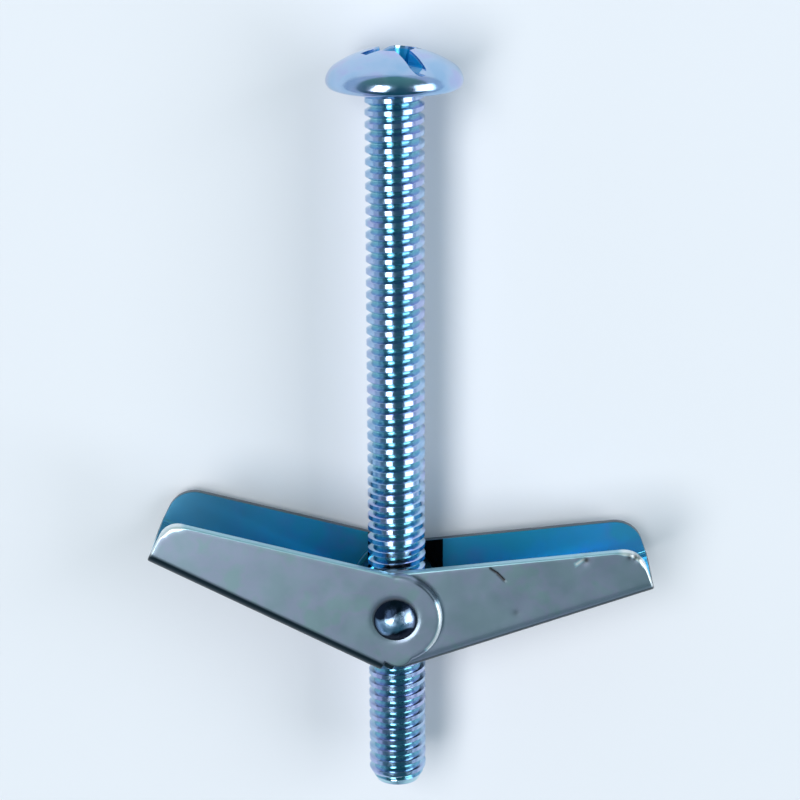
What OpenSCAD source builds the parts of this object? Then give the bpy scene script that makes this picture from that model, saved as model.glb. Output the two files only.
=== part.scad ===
// Spring toggle bolt for hollow walls: a truss-head machine screw, a cross-drilled nut with
// two stub pins, and a pair of sprung wings folded from sheet steel, one nested in the other.
// It lies on its side. The screw runs along Y with its head at +Y, the hinge pin points
// straight up, and the origin is the centre of the head's bearing face.

/* [Screw] */
// Outside diameter of the thread
thread_d = 6.15; // [5:0.05:8]
// Length of the screw under its head
screw_length = 76; // [64:0.5:110]
// Length of the tapered lead at the point
point_length = 1.3; // [0.5:0.1:3]
// How far the lead draws in on each side
point_draw = 0.75; // [0.3:0.05:1.2]

/* [Screw head] */
// Diameter of the truss head
head_d = 14; // [12:0.1:18]
// Height of the head above its bearing face
head_h = 4.2; // [3.4:0.1:5.2]
// Height of the rim's widest circle above the bearing face
rim_h = 0.7; // [0.5:0.05:1]
// Rounding of the rim above its widest circle
rim_over_r = 1.1; // [0.6:0.05:1.3]
// Rounding of the rim below its widest circle
rim_under_r = 0.5; // [0.2:0.05:0.5]

/* [Drive recess] */
// Turn of the driver slot about the screw, away from the hinge pin's direction
slot_turn = 27; // [0:1:90]
// Width of the driver slot
slot_w = 1.65; // [1.2:0.05:2]
// Depth of the slot's floor below the top of the dome
slot_depth = 1.9; // [1:0.05:2.4]
// Span of the cross recess level with the top of the dome
cross_span = 7.6; // [5:0.1:9]
// Span of the cross recess at its floor
cross_floor = 2.8; // [2:0.1:3.4]
// Width of the arms of the cross
cross_w = 1.3; // [0.9:0.05:1.6]
// Depth of the cross recess below the top of the dome
cross_depth = 3.6; // [2.6:0.1:3.6]
// Diameter of the cross recess's middle at its floor
cross_core_floor = 2.2; // [1.6:0.1:2.6]
// Diameter of the cross recess's middle level with the top of the dome
cross_core_top = 4; // [3:0.1:5]

/* [Nut] */
// Distance from the head's bearing face to the hinge pin
pin_station = 55.15; // [46:0.05:70]
// Radial clearance of the screw in the nut
thread_clearance = 0.05; // [0.02:0.01:0.1]
// Wall of the nut's barrel beside the threaded hole
barrel_wall = 1.2; // [0.8:0.05:1.6]
// Wall between the threaded hole and the end of the barrel on the spring's side
barrel_end_wall = 0.35; // [0.3:0.05:0.8]
// Diameter of the two stub pins
pin_d = 4.2; // [3.4:0.05:5.2]
// Radial clearance of the pins in the wings' ears
pin_clearance = 0.06; // [0.02:0.01:0.1]
// How far the riveted dome on each pin overhangs it
dome_lip = 0.15; // [0.1:0.05:0.8]
// Height of the riveted dome
dome_h = 1; // [0.6:0.05:1.6]
// Length of the straight edge under the riveted dome
dome_edge = 0.1; // [0.05:0.05:0.4]

/* [Wings] */
// Thickness of the sheet steel
sheet = 0.9; // [0.6:0.05:1.1]
// Radius inside the fold between the web and a side
fold_r = 0.45; // [0.2:0.05:0.8]
// Radius of the ears round the pin
ear_r = 4.95; // [4.5:0.05:5.3]
// Distance from the pin's axis to the line of a side's open edge
edge_offset = 4.7; // [4.4:0.05:5]
// Length of the outer wing from the pin to its tip, along the web
outer_reach = 26.1; // [22:0.1:34]
// Length of the inner wing from the pin to its tip, along the web
inner_reach = 26.7; // [22:0.1:34]
// Angle by which the sides narrow towards the tip
taper = 12.8; // [9:0.1:15]
// Radius of the rounded corner at the tip of each side
corner_r = 3.1; // [1:0.1:3.6]
// Slope of the outer wing's web away from square to the screw, when open
outer_rise = 26.5; // [18:0.1:32]
// Slope of the inner wing's web away from square to the screw, when open
inner_rise = 19.1; // [14:0.1:26]
// How far the folds run on past the pin, towards the middle
fold_run = 1.2; // [0.5:0.1:1.6]

/* [Fits] */
// Gap between the nested sides of the two wings
nest_gap = 0.08; // [0.04:0.01:0.2]
// Gap between the nut's barrel and the webs that turn round it
barrel_gap = 1; // [0.5:0.05:1.3]
// Gap between the barrel's front end and the ear beside it
thrust_gap = 0.12; // [0.05:0.01:0.3]
// Gap between the notch in each web and the thread
notch_gap = 0.12; // [0.05:0.01:0.3]
// Gap from each tongue's end to the middle, where the two meet
stop_gap = 0.05; // [0.02:0.01:0.1]
// Gap between the inner wing's ears and the folds of the outer wing
ear_gap = 0.15; // [0.1:0.05:0.4]
// Gap between the rivet domes and the ears under them
rivet_gap = 0.05; // [0.02:0.01:0.15]

/* [Spring] */
// Diameter of the spring wire
wire_d = 0.4; // [0.3:0.01:0.5]
// Gap between the spring and what lies beside it
coil_gap = 0.05; // [0.03:0.01:0.1]
// Gap between the coil and the pin inside it
coil_play = 0.15; // [0.1:0.01:0.4]
// Length of each spring leg along its wing
leg_reach = 13; // [8:0.5:18]
// Gap between a leg's end and the web that it pushes on
leg_gap = 0.2; // [0.1:0.05:0.4]

/* [Hidden] */
$fn = 72;
over = 1; // how far a cutting shape runs past what it cuts
far = 4 * ear_r; // well past the sides of the nut and the wings, for cuts and cut-off shapes

thread_r = thread_d / 2;
head_r = head_d / 2;
pin_r = pin_d / 2;
dome_r = pin_r + dome_lip;

// The dome's sphere runs smoothly into the rounding of the rim.
rim_centre = head_r - rim_over_r;
crown = head_h - rim_h;
dome_sphere_r = (pow(rim_centre, 2) + pow(crown, 2) - pow(rim_over_r, 2))
    / (2 * crown - 2 * rim_over_r);
dome_foot = rim_centre * dome_sphere_r / (dome_sphere_r - rim_over_r);

// The spring sits between the barrel and the inner wing's ear, and sets the wings' width.
barrel_r = thread_r + barrel_wall;
barrel_back = thread_r + barrel_end_wall;
inner_face = barrel_back + 2 * wire_d + 3 * coil_gap; // inside of the inner wing, from the middle
inner_w = 2 * (inner_face + sheet);
outer_w = inner_w + 2 * (nest_gap + sheet);
barrel_front = inner_face - thrust_gap;

web_in = barrel_r + barrel_gap; // from the pin's axis to the inside of a web
web_out = web_in + sheet;
bend_r = fold_r + sheet;
bend_room = fold_r - nest_gap; // how deep the inner wing's side reaches into the outer's fold
inner_ear_r = min(ear_r, web_in - fold_r + sqrt(pow(fold_r, 2) - pow(bend_room, 2)) - ear_gap);
tongue_half = inner_w / 2 - bend_r; // half the width over which the two webs meet

coil_r = pin_r + coil_play + wire_d / 2;
coil_front = barrel_back + coil_gap + wire_d / 2;
coil_back = coil_front + wire_d + coil_gap;
wire_sides = 10;
coil_steps = 40;
leg_steps = 4;

// ---------------------------------------------------------------- screw

// Half of the head's section, with the bearing face on the x axis.
module head_section() {
    square([head_r - rim_under_r, rim_h]);
    translate([head_r - rim_under_r, rim_under_r]) circle(rim_under_r);
    translate([0, rim_under_r]) square([head_r, rim_h - rim_under_r]);
    intersection() {
        translate([rim_centre, rim_h]) circle(rim_over_r);
        translate([0, rim_h]) square([head_r, rim_over_r]);
    }
    intersection() {
        translate([0, head_h - dome_sphere_r]) circle(dome_sphere_r);
        translate([0, rim_h]) square([dome_foot, head_h]);
    }
}

// Cross and slot together, cut down into a head that stands on z = 0.
module drive_recess() {
    floor_z = head_h - cross_depth;
    translate([-head_r - over, -slot_w / 2, head_h - slot_depth])
        cube([head_d + 2 * over, slot_w, slot_depth + over]);
    for (turn = [0, 90]) {
        rotate([90, 0, turn]) translate([0, 0, -cross_w / 2]) linear_extrude(cross_w)
            polygon([
                [-cross_floor / 2, floor_z],
                [cross_floor / 2, floor_z],
                [cross_span / 2, head_h],
                [cross_span / 2, head_h + over],
                [-cross_span / 2, head_h + over],
                [-cross_span / 2, head_h]
            ]);
    }
    translate([0, 0, floor_z])
        cylinder(h = cross_depth, d1 = cross_core_floor, d2 = cross_core_top);
}

// Turned from one bar: the shank's outside is the crest of its thread.
module screw() {
    color("lightsteelblue") rotate([-90, 0, 0]) difference() {
        union() {
            rotate_extrude() head_section();
            translate([0, 0, point_length - screw_length])
                cylinder(h = screw_length - point_length, d = thread_d);
            translate([0, 0, -screw_length])
                cylinder(h = point_length, d1 = thread_d - 2 * point_draw, d2 = thread_d);
        }
        rotate([0, 0, slot_turn - 90]) drive_recess();
    }
}

// ---------------------------------------------------------------- nut

// One riveted stub pin, from the middle of the barrel out through both ears.
module stub_pin() {
    seat = outer_w / 2 + rivet_gap;
    sphere_r = (pow(dome_r, 2) + pow(dome_h, 2)) / (2 * dome_h);
    translate([0, 0, thread_r + thread_clearance]) cylinder(h = seat - thread_r, r = pin_r);
    translate([0, 0, seat]) cylinder(h = dome_edge, r = dome_r);
    intersection() {
        translate([0, 0, seat + dome_edge + dome_h - sphere_r]) sphere(sphere_r);
        translate([0, 0, seat + dome_edge]) cylinder(h = dome_h + over, r = dome_r);
    }
}

// A turned barrel that lies along the hinge, drilled across and tapped for the screw.
module trunnion_nut() {
    color("slategray") translate([0, -pin_station, 0]) {
        difference() {
            translate([0, 0, -barrel_back]) cylinder(h = barrel_back + barrel_front, r = barrel_r);
            rotate([90, 0, 0]) cylinder(h = far, r = thread_r + thread_clearance, center = true);
        }
        stub_pin();
        mirror([0, 0, 1]) stub_pin();
    }
}

// ---------------------------------------------------------------- wings

// A wing is drawn with its pin at the origin and its web below it, running out along +X.

// Height of a side's open edge above the pin's level, at a distance out from the pin.
function edge_height(out) = edge_offset / cos(taper) - out * tan(taper);

// Outline of one side: a round ear, two straight edges and a rounded corner at the tip.
module side_outline(reach, lobe_r) {
    corner_x = reach - corner_r;
    corner_y = edge_height(corner_x) - corner_r / cos(taper);
    circle(lobe_r);
    translate([corner_x, corner_y]) circle(corner_r);
    polygon([
        [-fold_run, 0],
        [0, 0],
        [edge_offset * sin(taper), edge_offset * cos(taper)],
        [corner_x + corner_r * sin(taper), corner_y + corner_r * cos(taper)],
        [corner_x, corner_y],
        [reach, corner_y],
        [reach, -web_out],
        [-fold_run, -web_out]
    ]);
}

// The flat part of a side: the ear short of the folds, and all that stands above them.
module flat_outline(reach, lobe_r) {
    intersection() {
        side_outline(reach, lobe_r);
        union() {
            translate([-far, -far]) square([far - fold_run, 2 * far]);
            translate([-fold_run - over, bend_r - web_out]) square([fold_run + reach + 2 * over, far]);
        }
    }
}

// A slab with two rounded lower corners, its floor at the given height.
module round_slab(width, corner, floor_y) {
    side_x = width / 2 - corner;
    translate([-width / 2, floor_y + corner]) square([width, far]);
    translate([-side_x, floor_y]) square([2 * side_x, 2 * corner]);
    for (side = [-1, 1]) translate([side * side_x, floor_y + corner]) circle(corner);
}

// Section across a wing: a flat web folded up into two sides.
module channel_section(width) {
    difference() {
        round_slab(width, bend_r, -web_out);
        round_slab(width - 2 * sheet, fold_r, -web_in);
    }
}

// One stamping: a channel with two ears, and a tongue of web that runs on to the middle. The
// web is notched round the screw.
module wing(width, reach, rise, lobe_r) {
    tongue_end = -web_in * tan(rise) + stop_gap / cos(rise);
    difference() {
        union() {
            intersection() {
                translate([-fold_run, 0, 0]) rotate([0, 90, 0])
                    linear_extrude(fold_run + reach) channel_section(width);
                translate([0, 0, -width / 2]) linear_extrude(width) side_outline(reach, lobe_r);
            }
            for (side = [0, 1]) {
                mirror([0, 0, side]) translate([0, 0, width / 2 - sheet]) linear_extrude(sheet)
                    flat_outline(reach, lobe_r);
            }
            translate([tongue_end, -web_out, -tongue_half])
                cube([over - tongue_end, sheet, 2 * tongue_half]);
        }
        cylinder(h = far, r = pin_r + pin_clearance, center = true);
        rotate([90, 0, -rise]) cylinder(h = 2 * far, r = thread_r + notch_gap, center = true);
    }
}

// The outer wing, on the left.
module wing_left() {
    color("silver") translate([0, -pin_station, 0]) mirror([1, 0, 0])
        rotate([0, 0, outer_rise])
            wing(outer_w, outer_reach, outer_rise, ear_r);
}

// The inner wing, on the right, with its ears inside the outer wing's.
module wing_right() {
    color("lightgray") translate([0, -pin_station, 0]) rotate([0, 0, inner_rise])
        wing(inner_w, inner_reach, inner_rise, inner_ear_r);
}

// ---------------------------------------------------------------- spring

// Where a leg touches its web, as distances out to the side and up from the pin.
function leg_end(rise) =
    let (lift = web_in - wire_d / 2 - leg_gap)
    [leg_reach * cos(rise) + lift * sin(rise), leg_reach * sin(rise) - lift * cos(rise)];

// The angle round the coil, from straight down, at which a leg to that end leaves it.
function leg_angle(end) = acos(coil_r / norm(end)) - atan2(-end[1], end[0]) - 90;

// Centre line: in along the left leg, once round the pin, and out along the right leg.
right_end = leg_end(inner_rise);
left_end = leg_end(outer_rise);
right_leave = -leg_angle(right_end);
left_leave = leg_angle(left_end);
function on_coil(angle) = [coil_r * sin(angle), -coil_r * cos(angle)];
wind = 360 + right_leave - left_leave;
wire_path = concat(
    [for (i = [0 : leg_steps - 1]) let (t = i / leg_steps, foot = on_coil(left_leave)) [
        -left_end[0] + t * (foot[0] + left_end[0]),
        left_end[1] + t * (foot[1] - left_end[1]),
        -coil_front
    ]],
    [for (i = [0 : coil_steps]) let (t = i / coil_steps, p = on_coil(left_leave + t * wind))
        [p[0], p[1], -coil_front - t * (coil_back - coil_front)]],
    [for (i = [1 : leg_steps]) let (t = i / leg_steps, foot = on_coil(right_leave)) [
        foot[0] + t * (right_end[0] - foot[0]),
        foot[1] + t * (right_end[1] - foot[1]),
        -coil_back
    ]]
);

// A ring of points round the wire at one point of its centre line.
function wire_ring(i) =
    let (
        last = len(wire_path) - 1,
        ahead = wire_path[min(i + 1, last)] - wire_path[max(i - 1, 0)],
        along = ahead / norm(ahead),
        side = cross(along, [0, 0, 1]) / norm(cross(along, [0, 0, 1])),
        up = cross(side, along)
    )
    [for (k = [0 : wire_sides - 1]) let (a = 360 * k / wire_sides)
        wire_path[i] + wire_d / 2 * (cos(a) * side + sin(a) * up)];

// Torsion spring of one turn, wound from round wire.
module spring() {
    rings = len(wire_path);
    points = [for (i = [0 : rings - 1]) each wire_ring(i)];
    sides = [for (i = [0 : rings - 2], k = [0 : wire_sides - 1]) let (
        next = (k + 1) % wire_sides,
        a = i * wire_sides,
        b = a + wire_sides
    ) [a + k, b + k, b + next, a + next]];
    start_cap = [[for (k = [0 : wire_sides - 1]) k]];
    end_cap = [[for (k = [wire_sides - 1 : -1 : 0]) (rings - 1) * wire_sides + k]];
    color("dimgray") translate([0, -pin_station, 0])
        polyhedron(points = points, faces = concat(sides, start_cap, end_cap));
}

screw();
trunnion_nut();
wing_left();
wing_right();
spring();
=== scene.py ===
import math

import bmesh
import bpy
import numpy as np
from mathutils import Matrix, Vector
from mathutils.geometry import delaunay_2d_cdt


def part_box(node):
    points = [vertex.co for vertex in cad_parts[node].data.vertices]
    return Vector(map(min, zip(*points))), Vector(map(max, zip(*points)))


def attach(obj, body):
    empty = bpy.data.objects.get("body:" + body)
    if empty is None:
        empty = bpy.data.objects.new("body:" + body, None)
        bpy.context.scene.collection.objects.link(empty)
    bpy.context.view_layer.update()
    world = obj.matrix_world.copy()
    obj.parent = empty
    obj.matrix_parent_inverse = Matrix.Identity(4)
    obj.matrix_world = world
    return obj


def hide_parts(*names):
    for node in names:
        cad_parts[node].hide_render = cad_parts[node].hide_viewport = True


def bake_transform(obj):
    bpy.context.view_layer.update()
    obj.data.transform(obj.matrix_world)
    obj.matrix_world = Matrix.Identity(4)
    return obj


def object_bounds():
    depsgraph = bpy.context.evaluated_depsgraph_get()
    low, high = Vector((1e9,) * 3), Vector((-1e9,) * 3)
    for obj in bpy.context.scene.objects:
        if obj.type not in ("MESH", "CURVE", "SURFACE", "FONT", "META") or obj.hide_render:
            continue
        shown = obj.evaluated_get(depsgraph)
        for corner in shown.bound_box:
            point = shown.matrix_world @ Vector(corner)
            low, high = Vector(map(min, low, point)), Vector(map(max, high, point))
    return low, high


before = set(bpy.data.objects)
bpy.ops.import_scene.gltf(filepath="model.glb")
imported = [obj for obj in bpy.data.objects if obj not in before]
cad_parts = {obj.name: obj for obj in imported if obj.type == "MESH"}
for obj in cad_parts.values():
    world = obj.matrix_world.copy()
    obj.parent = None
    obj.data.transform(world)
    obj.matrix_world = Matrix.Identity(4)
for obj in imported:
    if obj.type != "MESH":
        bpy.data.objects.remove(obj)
cad_low, cad_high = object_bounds()
MM = 0.001


# ---------------------------------------------------------------- camera
# A long lens looks almost straight down on the bolt, leaning a little towards the head.

LENS_MM = 107.34
aim = Vector((0.422, -32.893, 0)) * MM
camera_distance = 250.33 * MM
lean_to_head = math.radians(16.48)
lean_to_right = math.radians(1.655)
camera_roll = math.radians(-0.248)

back = Vector((
    math.sin(lean_to_right) * math.cos(lean_to_head),
    math.sin(lean_to_head),
    math.cos(lean_to_right) * math.cos(lean_to_head),
))
right = Vector((math.cos(lean_to_right), 0, -math.sin(lean_to_right)))
up = back.cross(right)
turned_right = right * math.cos(camera_roll) + up * math.sin(camera_roll)
turned_up = up * math.cos(camera_roll) - right * math.sin(camera_roll)

camera_data = bpy.data.cameras.new("camera")
camera_data.sensor_width = 36
camera_data.lens = LENS_MM
camera_data.clip_start = 10 * MM
camera = bpy.data.objects.new("camera", camera_data)
camera.matrix_world = Matrix.Translation(aim + back * camera_distance) @ Matrix(
    (turned_right, turned_up, back)
).transposed().to_4x4()
bpy.context.scene.collection.objects.link(camera)
bpy.context.scene.camera = camera


# ---------------------------------------------------------------- floor and light
# A sheet of pale paper under the bolt, lit by two soft panels, one on each side.


def srgb(code):
    """A colour written as an sRGB hex code, as linear RGBA."""
    parts = [int(code[i:i + 2], 16) / 255 for i in (1, 3, 5)]
    return (*[p / 12.92 if p <= 0.04045 else ((p + 0.055) / 1.055) ** 2.4 for p in parts], 1)


def add_node(tree, kind, inputs=(), **settings):
    """Adds a node. Its inputs come in order, or by name or number in a dict. Each takes a value, another
    node's socket, or another node, for its first output."""
    node = tree.nodes.new(kind)
    for name, value in settings.items():
        setattr(node, name, value)
    for key, value in inputs.items() if isinstance(inputs, dict) else enumerate(inputs):
        source = value.outputs[0] if isinstance(value, bpy.types.Node) else value
        if isinstance(source, bpy.types.NodeSocket):
            tree.links.new(source, node.inputs[key])
        else:
            node.inputs[key].default_value = source
    return node


def new_material(name):
    """An empty material, its node tree and its output node."""
    material = bpy.data.materials.new(name)
    material.use_nodes = True
    material.node_tree.nodes.clear()
    return material, material.node_tree, material.node_tree.nodes.new("ShaderNodeOutputMaterial")


def new_object(name, mesh, *materials):
    """Links a mesh to the scene as an object at the origin, with its materials."""
    piece = bpy.data.objects.new(name, mesh)
    bpy.context.scene.collection.objects.link(piece)
    for material in materials:
        mesh.materials.append(material)
    return piece


# Uncoated paper: matt and a little cool, so that the shadow of the bolt lies soft on it.
paper, tree, output = new_material("uncoated_pale_paper")
shader = add_node(tree, "ShaderNodeBsdfPrincipled", {
    "Base Color": srgb("#E9EAF0"),
    "Roughness": 0.9,
})
tree.links.new(shader.outputs[0], output.inputs[0])

FLOOR_REACH = 900 * MM
floor_z = cad_low.z
mesh = bpy.data.meshes.new("floor")
mesh.from_pydata(
    [(x * FLOOR_REACH, y * FLOOR_REACH, floor_z) for x, y in ((-1, -1), (1, -1), (1, 1), (-1, 1))],
    [], [(0, 1, 2, 3)])
floor = new_object("floor", mesh, paper)


def soft_panel(name, azimuth, drop, distance, width, height, power, colour):
    """A panel that faces the bolt, turned from straight above towards +X and dropped towards -Y. Its
    width runs round the screw's axis and its height along it."""
    light = bpy.data.lights.new(name, "AREA")
    light.shape = "RECTANGLE"
    light.size, light.size_y = width, height
    light.energy = power
    light.color = srgb(colour)[:3]
    panel = bpy.data.objects.new(name, light)
    a, d = math.radians(azimuth), math.radians(drop)
    direction = Vector((math.sin(a) * math.cos(d), -math.sin(d), math.cos(a) * math.cos(d)))
    panel.location = aim + direction * distance
    panel.rotation_euler = direction.to_track_quat("Z", "X").to_euler()
    panel.visible_camera = False
    bpy.context.scene.collection.objects.link(panel)


soft_panel(
    "left_panel", azimuth=-22, drop=-4, distance=0.80,
    width=0.30, height=0.75, power=5.0, colour="#FFFFFF")
soft_panel(
    "right_panel", azimuth=54, drop=-2, distance=0.80,
    width=0.49, height=0.75, power=3.7, colour="#FAFCFF")


def laid_over(tree, colour, *tints):
    """A colour with tints laid over it in turn, each as (share, hex code)."""
    for share, code in tints:
        mix = add_node(tree, "ShaderNodeMix", {0: share, 6: colour, 7: srgb(code)}, data_type="RGBA")
        colour = mix.outputs[2]
    return colour


# The room is a dim teal overhead, which pales beyond the head. It is pale all round the horizon,
# higher up at both sides, and a little paler than overhead at the far left and right.
world = bpy.data.worlds.new("room")
bpy.context.scene.world = world
world.use_nodes = True
tree = world.node_tree
tree.nodes.clear()
output = tree.nodes.new("ShaderNodeOutputWorld")
direction = add_node(tree, "ShaderNodeTexCoord").outputs["Generated"]
rightwards, headwards, upwards = add_node(tree, "ShaderNodeSeparateXYZ", [direction]).outputs
to_left = add_node(tree, "ShaderNodeMapRange", (rightwards, -0.6, -0.95, 0.0, 0.35))
to_right = add_node(tree, "ShaderNodeMapRange", (rightwards, 0.6, 0.95, 0.0, 0.15))
to_side = add_node(tree, "ShaderNodeMath", (to_left, to_right), operation="MAXIMUM")
aside = add_node(tree, "ShaderNodeMath", [rightwards], operation="ABSOLUTE")
higher_aside = add_node(tree, "ShaderNodeMath", (aside, 0.4), operation="MULTIPLY")
above_horizon = add_node(tree, "ShaderNodeMath", (upwards, higher_aside), operation="SUBTRACT")
to_horizon = add_node(tree, "ShaderNodeMapRange", (above_horizon, 0.03, 0.12, 0.85, 0.0))
pale = add_node(tree, "ShaderNodeMath", (to_side, to_horizon), operation="MAXIMUM")
past_head = add_node(tree, "ShaderNodeMapRange", (headwards, 0.2, 0.9, 0.0, 1.0))
colour = laid_over(tree, srgb("#205560"), (past_head, "#6A948A"), (pale, "#C6D2E8"))
room = add_node(tree, "ShaderNodeBackground", {"Color": colour})
tree.links.new(room.outputs[0], output.inputs[0])
bpy.context.scene.view_settings.view_transform = "Standard"


# ---------------------------------------------------------------- screw
# A machine screw headed and thread-rolled from one steel blank, zinc plated and dipped in a
# blue chromate. The thread is 1/4-20, and the truss head has a combined slot and cross recess.

PITCH = 1.27 * MM
CREST_R = 3.06 * MM
ROOT_R = 2.42 * MM
SHANK = 76 * MM
POINT = 1.3 * MM
POINT_R = 2.3 * MM
FIRST_CREST = 2.14 * MM
CREST_SHARE = 0.2
ROOT_SHARE = 0.49
AROUND = 96
ROWS_PER_PITCH = 14


def noise_scale(size):
    """The scale of a noise whose patches are about as wide as a real size."""
    return 0.5 / size


def with_stops(ramp, *stops):
    """Sets the colours along a ramp node, as (place, hex code) pairs, and returns its colour."""
    while len(ramp.color_ramp.elements) < len(stops):
        ramp.color_ramp.elements.new(1.0)
    for element, (place, code) in zip(ramp.color_ramp.elements, stops):
        element.position = place
        element.color = srgb(code)
    return ramp.outputs[0]


def bright_zinc(name, bump_height, bump_size, roughness, *painted_parts):
    """Bright barrel zinc with a clear blue passivate: it mirrors its surroundings a little softly,
    with a cool tint that drifts between ice blue and lavender. Each painted part lays a tint of painted
    light or shade over it, as a function for its share, a hex code and how metallic it is."""
    material, tree, output = new_material(name)
    place = add_node(tree, "ShaderNodeTexCoord").outputs["Object"]
    drift = add_node(tree, "ShaderNodeTexNoise", {"Vector": place, "Scale": noise_scale(1.6 * MM)})
    tint = with_stops(
        add_node(tree, "ShaderNodeValToRGB", [drift]),
        (0.38, "#9FC2E3"), (0.50, "#AEC8E6"), (0.62, "#B2BDE4"))
    metal_share = 1.0
    for share, code, metallic in painted_parts:
        here = share(tree, place)
        tint = laid_over(tree, tint, (here, code))
        metal_share = add_node(tree, "ShaderNodeMapRange", (here, 0.0, 1.0, metal_share, metallic))
    waves = add_node(tree, "ShaderNodeTexNoise", {
        "Vector": place, "Scale": noise_scale(bump_size), "Detail": 3.0,
    })
    clouds = add_node(tree, "ShaderNodeTexNoise", {"Vector": place, "Scale": noise_scale(0.5 * MM)})
    shader = add_node(tree, "ShaderNodeBsdfPrincipled", {
        "Base Color": tint,
        "Metallic": metal_share,
        "Roughness": add_node(tree, "ShaderNodeMapRange", (clouds, 0.35, 0.65, *roughness)),
        "Normal": add_node(tree, "ShaderNodeBump", {
            "Strength": 1.0, "Distance": bump_height, "Height": waves,
        }),
    })
    tree.links.new(shader.outputs[0], output.inputs[0])
    return material


def all_of(tree, share, *others):
    """How far all of these shares hold together: their product."""
    for other in others:
        share = add_node(tree, "ShaderNodeMath", (share, other), operation="MULTIPLY")
    return share


def off_axis(tree, first, second):
    """How far a point lies from an axis, from its two coordinates across that axis."""
    squares = [add_node(tree, "ShaderNodeMath", (side, 2.0), operation="POWER") for side in (first, second)]
    total = add_node(tree, "ShaderNodeMath", squares, operation="ADD")
    return add_node(tree, "ShaderNodeMath", [total], operation="SQRT")


def in_the_roots(tree, place):
    """How deep a point lies in the thread, from 0 on the crests to 1 in the roots, and 0 past both
    of its ends."""
    x, y, z = add_node(tree, "ShaderNodeSeparateXYZ", [place]).outputs
    radius = off_axis(tree, x, z)
    depth = add_node(tree, "ShaderNodeMapRange", (radius, ROOT_R, CREST_R - SKIN, 1.0, 0.0))
    under_head = add_node(tree, "ShaderNodeMath", (y, 0.0), operation="LESS_THAN")
    before_end = add_node(tree, "ShaderNodeMath", (y, SKIN - SHANK), operation="GREATER_THAN")
    return all_of(tree, depth, under_head, before_end)


def in_the_recess(tree, place):
    """How deep a point lies in the arms of the head's recess, up to 1. Its middle stays bright."""
    centre = add_node(tree, "ShaderNodeCombineXYZ", {1: HEAD_H - DOME_SPHERE_R})
    apart = add_node(tree, "ShaderNodeVectorMath", (place, centre), operation="DISTANCE").outputs["Value"]
    depth = add_node(tree, "ShaderNodeMapRange", (
        apart, DOME_SPHERE_R - RECESS_TINT_DEPTH, DOME_SPHERE_R - SKIN, 1.0, 0.0))
    x, y, z = add_node(tree, "ShaderNodeSeparateXYZ", [place]).outputs
    radius = off_axis(tree, x, z)
    in_an_arm = add_node(tree, "ShaderNodeMapRange", (radius, RECESS_BRIGHT_R, RECESS_TINT_R, 0.0, 1.0))
    above_rim = add_node(tree, "ShaderNodeMath", (y, SKIN), operation="GREATER_THAN")
    inside_shoulder = add_node(tree, "ShaderNodeMath", (radius, HEAD_R - SHOULDER_R), operation="LESS_THAN")
    return all_of(tree, depth, in_an_arm, above_rim, inside_shoulder)


def tree_inputs(tree, names, values):
    """Gives a node group number inputs with default values, and returns its input sockets."""
    tree.interface.new_socket("Geometry", in_out="OUTPUT", socket_type="NodeSocketGeometry")
    for name, value in zip(names, values):
        kind = "NodeSocketFloat" if isinstance(value, float) else "NodeSocketInt"
        tree.interface.new_socket(name, in_out="INPUT", socket_type=kind).default_value = value
    return add_node(tree, "NodeGroupInput").outputs


def end_tree(tree, geometry, material):
    """Ends a node group in real geometry with one material."""
    real = add_node(tree, "GeometryNodeRealizeInstances", [geometry])
    painted = add_node(tree, "GeometryNodeSetMaterial", {0: real, "Material": material})
    add_node(tree, "NodeGroupOutput", [painted])
    return tree


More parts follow.
